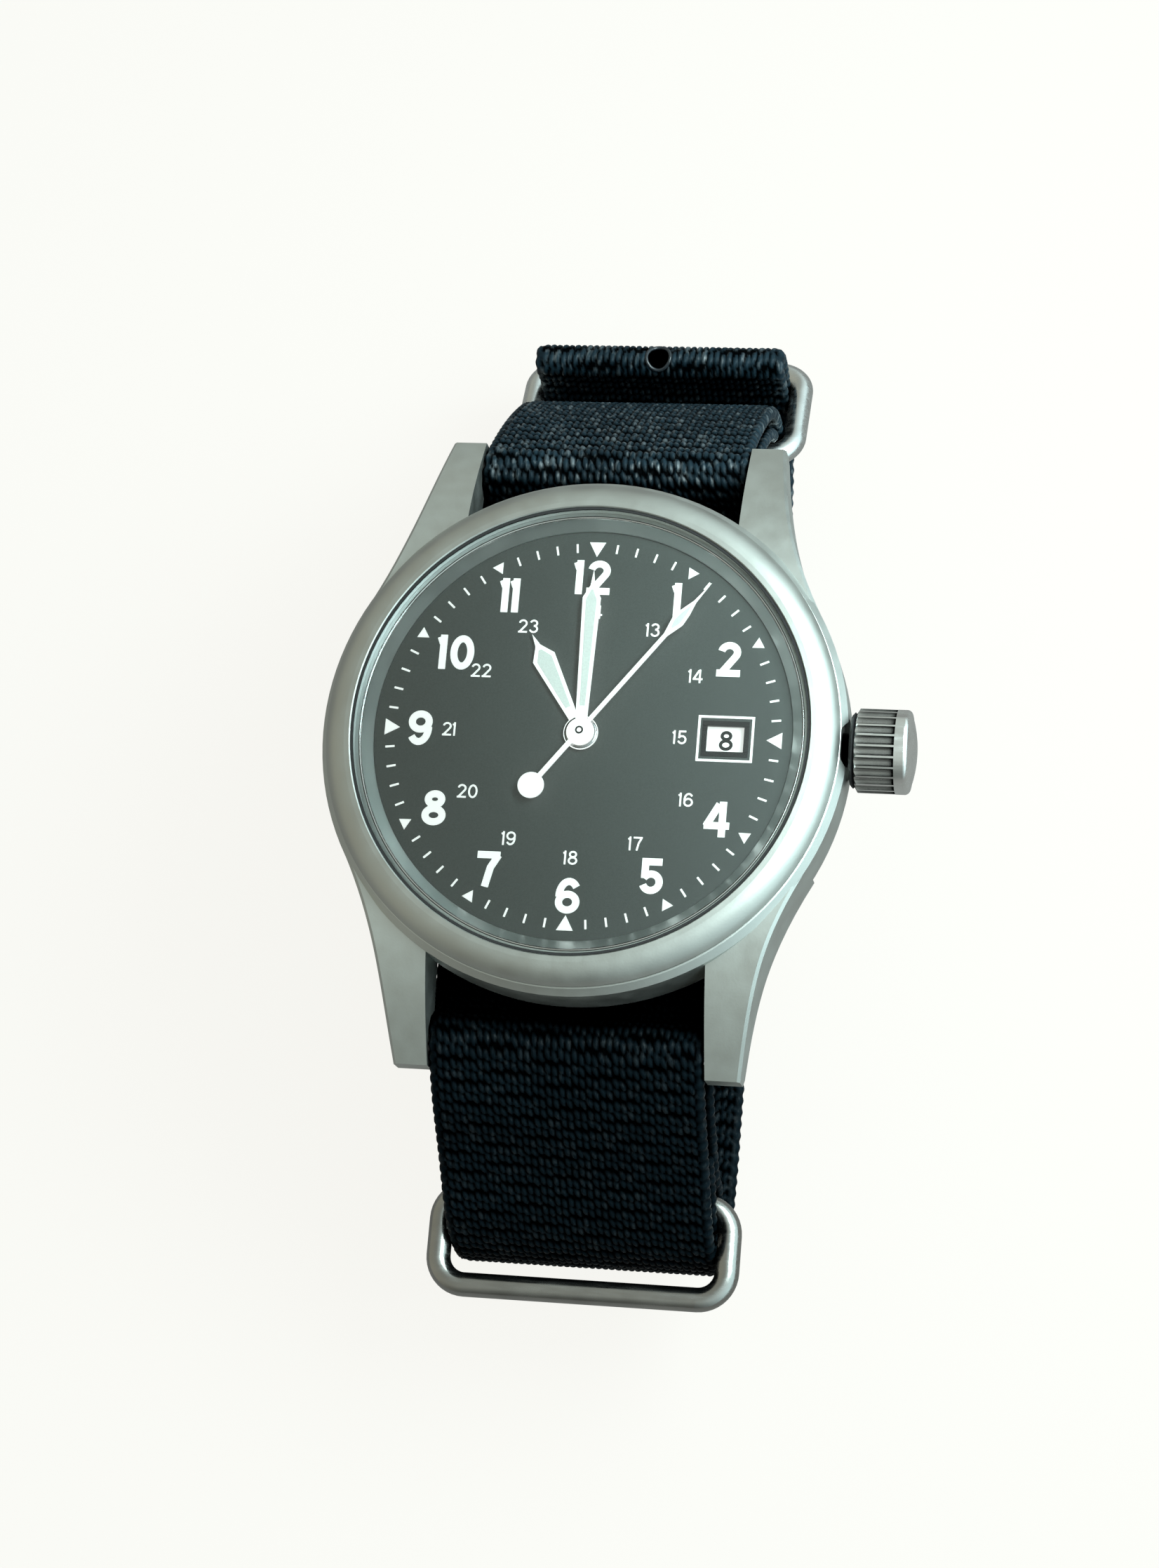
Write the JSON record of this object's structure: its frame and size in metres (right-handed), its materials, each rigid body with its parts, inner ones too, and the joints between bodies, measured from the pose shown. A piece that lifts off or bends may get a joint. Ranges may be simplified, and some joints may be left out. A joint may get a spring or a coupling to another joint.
{
  "type": "wristwatch",
  "caption": "Hand-wound field wristwatch with a dark twelve-hour dial, luminous hands, a fluted crown and a pass-through textile strap closed in a loop.",
  "frame": {"origin": "on the axis of the hands, at the outer face of the case back", "axes": "+Z out of the dial, +Y towards 12 o'clock, +X towards 3 o'clock and the crown"},
  "size_m": [0.0427, 0.077, 0.0365],
  "materials": {
    "satin_steel": "bead-blasted satin",
    "polished_steel": "polished",
    "crystal_glass": "clear, domed",
    "seal_rubber": "matte",
    "dial_paint": "matte dark grey",
    "white_paint": "matte white",
    "lume_hand": "pale green luminous paint with a white edge",
    "plated_brass": "rhodium-plated, satin",
    "wheel_brass": "polished",
    "ruby": "polished synthetic ruby",
    "nylon_webbing": "ribbed woven nylon"
  },
  "bodies": {
    "case": {"mid_case": "satin_steel", "bezel": "satin_steel", "crystal": "crystal_glass", "crystal_gasket": "seal_rubber", "rehaut_ring": "satin_steel", "dial": "dial_paint", "caseback": "satin_steel", "caseback_gasket": "seal_rubber", "movement_ring": "plated_brass", "case_tube": "polished_steel", "mainplate": "plated_brass", "barrel_bridge": "plated_brass", "train_bridge": "plated_brass", "balance_cock": "plated_brass", "pallet_bridge": "plated_brass", "hairspring": "polished_steel", "setting_lever": "polished_steel", "jewels": "ruby", "bridge_screws": "polished_steel", "spring_bar_12": "polished_steel", "spring_bar_6": "polished_steel", "main_strap": "nylon_webbing", "flap_strap": "nylon_webbing"},
    "stem_pinions": {"winding_pinion": "polished_steel", "sliding_pinion": "polished_steel"},
    "crown": {"crown": "polished_steel", "crown_gasket": "seal_rubber", "stem": "polished_steel"},
    "crown_wheel": {"crown_wheel": "polished_steel"},
    "ratchet": {"ratchet_wheel": "polished_steel", "barrel_arbor": "polished_steel"},
    "click": {"click": "polished_steel"},
    "minute": {"minute_hand": "lume_hand", "cannon_pinion": "polished_steel", "centre_wheel": "wheel_brass"},
    "hour": {"hour_hand": "lume_hand", "hour_wheel": "wheel_brass"},
    "seconds": {"seconds_hand": "white_paint", "fourth_wheel": "wheel_brass"},
    "minute_wheel": {"minute_wheel": "wheel_brass"},
    "third_wheel": {"third_wheel": "wheel_brass"},
    "barrel": {"barrel": "wheel_brass", "mainspring": "polished_steel"},
    "escape_wheel": {"escape_wheel": "wheel_brass"},
    "pallet_fork": {"pallet_fork": "polished_steel"},
    "balance": {"balance_wheel": "wheel_brass"},
    "date_ring": {"date_ring": "white_paint"},
    "flap_ring": {"flap_ring": "polished_steel"},
    "keeper_upper": {"keeper_upper": "polished_steel"},
    "keeper_lower": {"keeper_lower": "polished_steel"},
    "buckle": {"buckle_frame": "polished_steel", "buckle_bar": "polished_steel"},
    "buckle_tang": {"buckle_tang": "polished_steel"}
  },
  "joints": [
    {"name": "minute_turn", "type": "hinge", "parent": "case", "child": "minute", "pos_m": [0, 0, 0.006], "axis": [0, 0, -1], "continuous": true},
    {"name": "hour_turn", "type": "hinge", "parent": "case", "child": "hour", "pos_m": [0, 0, 0.0065], "axis": [0, 0, -1], "continuous": true},
    {"name": "seconds_turn", "type": "hinge", "parent": "case", "child": "seconds", "pos_m": [0, 0, 0.005], "axis": [0, 0, -1], "continuous": true},
    {"name": "minute_wheel_turn", "type": "hinge", "parent": "case", "child": "minute_wheel", "pos_m": [-0.0005, 0.00284, 0.0056], "axis": [0, 0, -1], "continuous": true},
    {"name": "third_wheel_turn", "type": "hinge", "parent": "case", "child": "third_wheel", "pos_m": [-0.00493, -0.00132, 0.0035], "axis": [0, 0, -1], "continuous": true},
    {"name": "barrel_turn", "type": "hinge", "parent": "case", "child": "barrel", "pos_m": [0.00226, 0.0062, 0.0036], "axis": [0, 0, -1], "continuous": true},
    {"name": "escape_wheel_turn", "type": "hinge", "parent": "case", "child": "escape_wheel", "pos_m": [-0.00132, -0.00493, 0.004], "axis": [0, 0, -1], "continuous": true},
    {"name": "pallet_fork_swing", "type": "hinge", "parent": "case", "child": "pallet_fork", "pos_m": [0.00117, -0.00567, 0.004], "axis": [0, 0, -1], "range_deg": [-5, 5]},
    {"name": "balance_swing", "type": "hinge", "parent": "case", "child": "balance", "pos_m": [0.0047, -0.00672, 0.0033], "axis": [0, 0, -1], "range_deg": [-290, 290]},
    {"name": "date_ring_turn", "type": "hinge", "parent": "case", "child": "date_ring", "pos_m": [0, 0, 0.0061], "axis": [0, 0, -1], "continuous": true},
    {"name": "crown_turn", "type": "hinge", "parent": "case", "child": "stem_pinions", "pos_m": [0, 0, 0.0049], "axis": [1, 0, 0], "continuous": true},
    {"name": "crown_pull", "type": "slide", "parent": "stem_pinions", "child": "crown", "axis": [1, 0, 0], "range_m": [0, 0.001]},
    {"name": "crown_wheel_turn", "type": "hinge", "parent": "case", "child": "crown_wheel", "pos_m": [0.00665, 0, 0.0018], "axis": [0, 0, -1], "continuous": true},
    {"name": "ratchet_turn", "type": "hinge", "parent": "case", "child": "ratchet", "pos_m": [0.00226, 0.0062, 0.0018], "axis": [0, 0, -1], "continuous": true},
    {"name": "click_swing", "type": "hinge", "parent": "case", "child": "click", "pos_m": [-0.00279, 0.0093, 0.0018], "axis": [0, 0, 1], "range_deg": [-10, 3]},
    {"name": "flap_ring_swing", "type": "hinge", "parent": "case", "child": "flap_ring", "pos_m": [0, -0.0306, -0.0115], "axis": [1, 0, 0], "range_deg": [-12, 12]},
    {"name": "keeper_upper_swing", "type": "hinge", "parent": "case", "child": "keeper_upper", "pos_m": [0, 0.0256, -0.013], "axis": [1, 0, 0], "range_deg": [-35, 8]},
    {"name": "keeper_lower_slide", "type": "slide", "parent": "case", "child": "keeper_lower", "axis": [0, 1, 0], "range_m": [-0.003, 0.004]},
    {"name": "buckle_swing", "type": "hinge", "parent": "case", "child": "buckle", "pos_m": [0, 0.008, -0.02045], "axis": [1, 0, 0], "range_deg": [0, 4]},
    {"name": "tang_swing", "type": "hinge", "parent": "buckle", "child": "buckle_tang", "pos_m": [0, 0.008, -0.02045], "axis": [1, 0, 0], "range_deg": [0, 5]}
  ],
  "couplings": [
    {"joint": "hour_turn", "follows": "minute_turn", "ratio": 0.083333},
    {"joint": "seconds_turn", "follows": "minute_turn", "ratio": 60},
    {"joint": "minute_wheel_turn", "follows": "minute_turn", "ratio": -0.33333},
    {"joint": "third_wheel_turn", "follows": "minute_turn", "ratio": -8},
    {"joint": "barrel_turn", "follows": "minute_turn", "ratio": -0.15385},
    {"joint": "crown_wheel_turn", "follows": "crown_turn", "ratio": -0.7},
    {"joint": "ratchet_turn", "follows": "crown_turn", "ratio": 0.45652}
  ]
}
